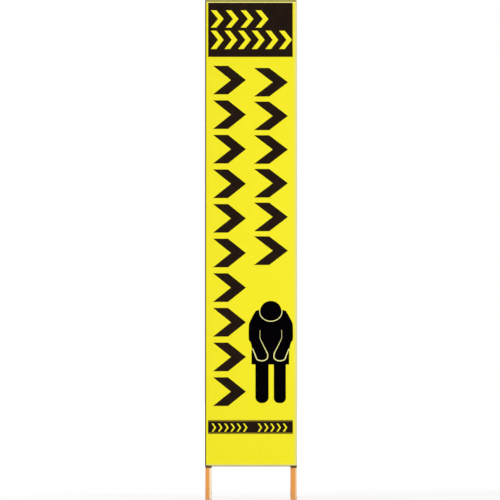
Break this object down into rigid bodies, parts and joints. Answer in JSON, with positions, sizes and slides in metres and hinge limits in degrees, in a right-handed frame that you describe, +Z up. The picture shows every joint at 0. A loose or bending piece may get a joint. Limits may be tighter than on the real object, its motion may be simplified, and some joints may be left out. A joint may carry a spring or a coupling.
{
  "type": "standing road sign",
  "caption": "Slim standing road-works sign: folded steel plate with a yellow reflective sheet on a leaning square-tube frame, with a hinged rear prop and hooked stays.",
  "frame": {"origin": "on the floor, at the middle of the footprint of the four feet", "axes": "+Z up, the sign faces -Y, +X to the right when seen from in front"},
  "size_m": [0.275, 0.4686, 1.4952],
  "materials": {
    "frame_paint": "satin orange paint",
    "plate_steel": "pale coated steel",
    "sign_sheet": "fluorescent yellow retroreflective sheet",
    "zinc_steel": "zinc plated",
    "plug_plastic": "moulded orange plastic",
    "washer_nylon": "moulded nylon"
  },
  "bodies": {
    "front_frame": {"left_upright": "frame_paint", "right_upright": "frame_paint", "top_rail": "frame_paint", "upper_rail": "frame_paint", "middle_rail": "frame_paint", "bottom_rail": "frame_paint", "sign_plate": "plate_steel", "reflective_sheet": "sign_sheet", "left_front_foot": "plug_plastic", "right_front_foot": "plug_plastic", "left_hinge_strap": "frame_paint", "right_hinge_strap": "frame_paint", "left_hinge_bolt": "zinc_steel", "right_hinge_bolt": "zinc_steel", "left_hinge_nut": "zinc_steel", "right_hinge_nut": "zinc_steel", "left_hinge_washer": "washer_nylon", "right_hinge_washer": "washer_nylon", "left_stay_pivot_stud": "zinc_steel", "right_stay_pivot_stud": "zinc_steel"},
    "rear_frame": {"left_rear_leg": "frame_paint", "right_rear_leg": "frame_paint", "rear_upper_rail": "frame_paint", "rear_lower_rail": "frame_paint", "left_rear_foot": "plug_plastic", "right_rear_foot": "plug_plastic", "left_rear_top_plug": "plug_plastic", "right_rear_top_plug": "plug_plastic", "left_latch_stud": "zinc_steel", "right_latch_stud": "zinc_steel"},
    "left_stay": {"left_stay": "zinc_steel"},
    "right_stay": {"right_stay": "zinc_steel"}
  },
  "joints": [
    {"name": "rear_frame_fold", "type": "hinge", "parent": "front_frame", "child": "rear_frame", "pos_m": [0, -0.09095, 1.27154], "axis": [-1, 0, 0], "range_deg": [0, 19]},
    {"name": "left_stay_lift", "type": "hinge", "parent": "front_frame", "child": "left_stay", "pos_m": [-0.11515, -0.18825, 0.41757], "axis": [1, 0, 0], "range_deg": [0, 85]},
    {"name": "right_stay_lift", "type": "hinge", "parent": "front_frame", "child": "right_stay", "pos_m": [0.11515, -0.18825, 0.41757], "axis": [1, 0, 0], "range_deg": [0, 85]}
  ],
  "couplings": [
    {"joint": "left_stay_lift", "follows": "rear_frame_fold", "ratio": 4.4736},
    {"joint": "right_stay_lift", "follows": "rear_frame_fold", "ratio": 4.4736}
  ]
}
